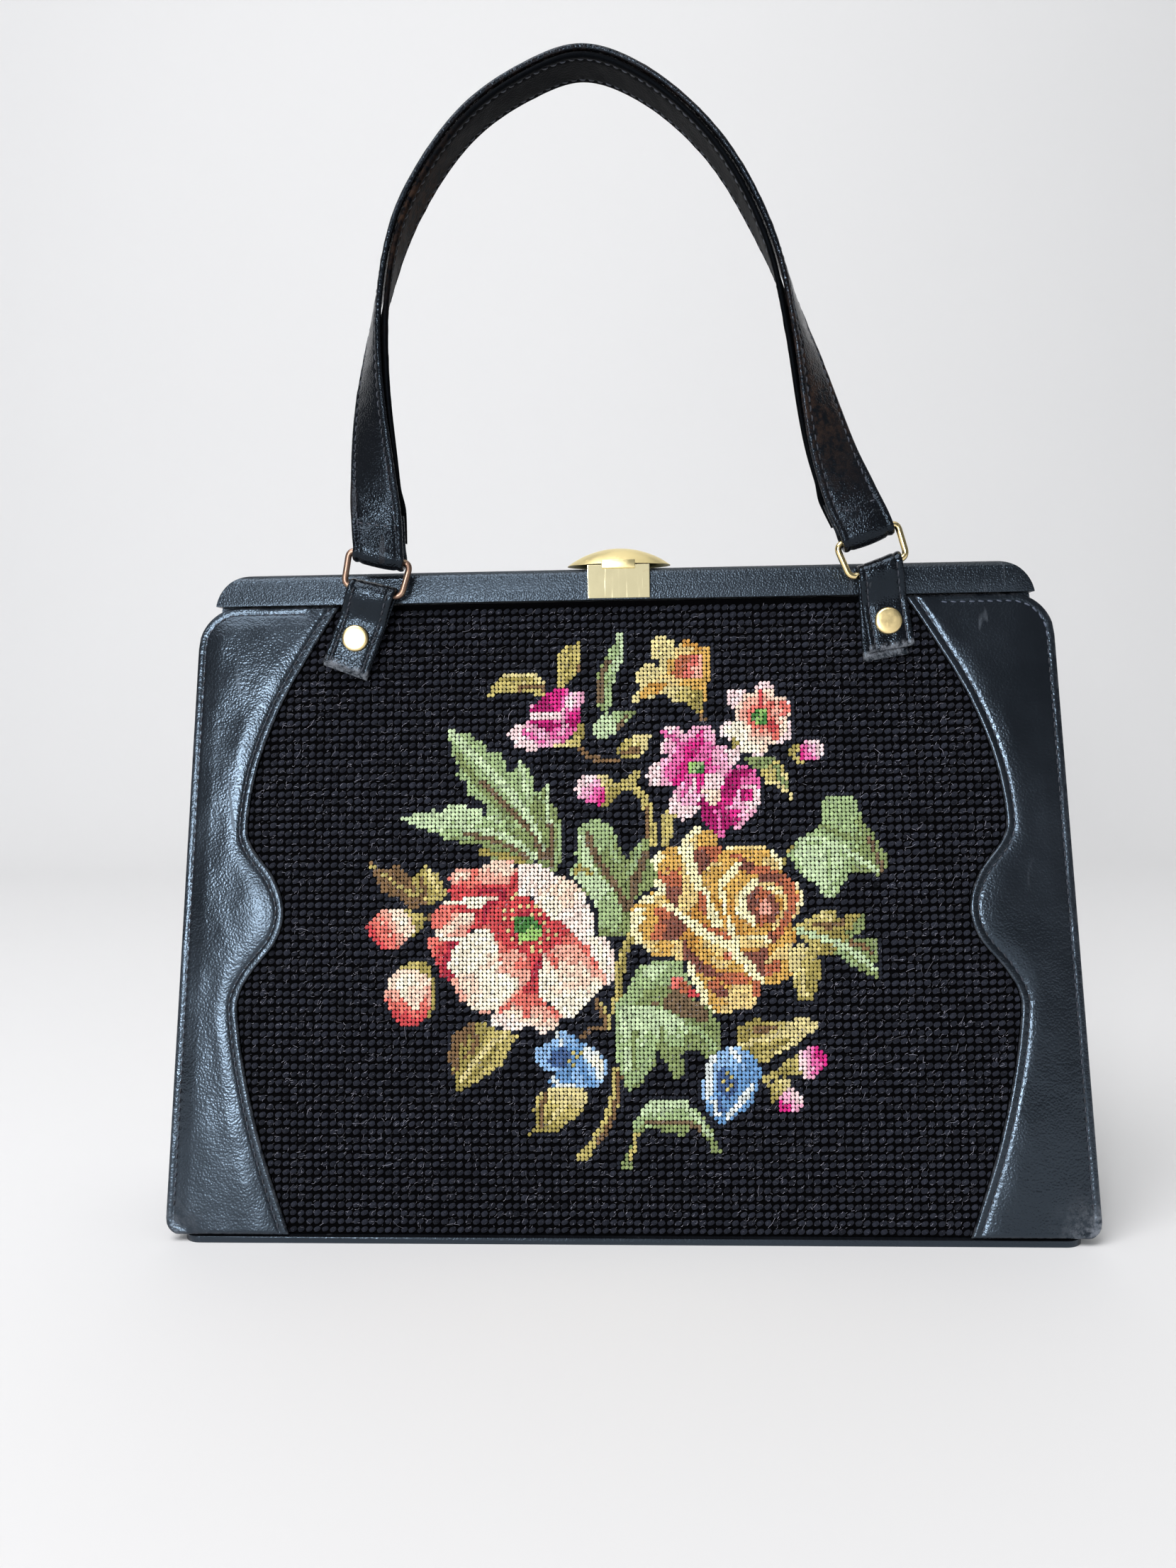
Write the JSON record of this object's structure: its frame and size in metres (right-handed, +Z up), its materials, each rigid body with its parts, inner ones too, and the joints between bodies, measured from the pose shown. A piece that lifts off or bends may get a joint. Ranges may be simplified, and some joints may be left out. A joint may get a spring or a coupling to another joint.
{
  "type": "handbag",
  "caption": "Framed handbag with a needlepoint flower panel between scalloped leather sides, folded leather ends, a domed lift clasp and a short leather handle on metal rings.",
  "frame": {"origin": "on the ground, under the middle of the base", "axes": "+Z up, +X to the right as seen from the needlepoint front, -Y out of the needlepoint front"},
  "size_m": [0.2924, 0.0767, 0.3706],
  "materials": {
    "needlepoint": "wool stitches, matt",
    "body_leather": "satin, fine grain",
    "frame_leather": "satin, pebbled",
    "handle_leather": "glossy, creased",
    "clasp_brass": "polished, fine scratches",
    "worn_ring": "dull, plating worn to copper",
    "pin_steel": "satin"
  },
  "bodies": {
    "bag": {"needlepoint_panel": "needlepoint", "leather_side_left": "body_leather", "leather_side_right": "body_leather", "back_panel": "body_leather", "gusset_left": "body_leather", "gusset_right": "body_leather", "base_panel": "body_leather", "frame_front": "frame_leather", "frame_back": "frame_leather", "frame_pin_left": "pin_steel", "frame_pin_right": "pin_steel", "clasp_plate": "clasp_brass", "clasp_bracket": "clasp_brass", "clasp_pin": "clasp_brass", "tab_left": "handle_leather", "tab_right": "handle_leather", "rivet_left": "clasp_brass", "rivet_right": "clasp_brass", "ring_left": "worn_ring", "ring_right": "clasp_brass", "handle_strap": "handle_leather", "handle_lining": "handle_leather"},
    "clasp_lever": {"clasp_lever": "clasp_brass"}
  },
  "joints": [
    {"name": "clasp_hinge", "type": "hinge", "parent": "bag", "child": "clasp_lever", "pos_m": [0, 0.008, 0.2155], "axis": [-1, 0, 0], "range_deg": [0, 55]}
  ]
}
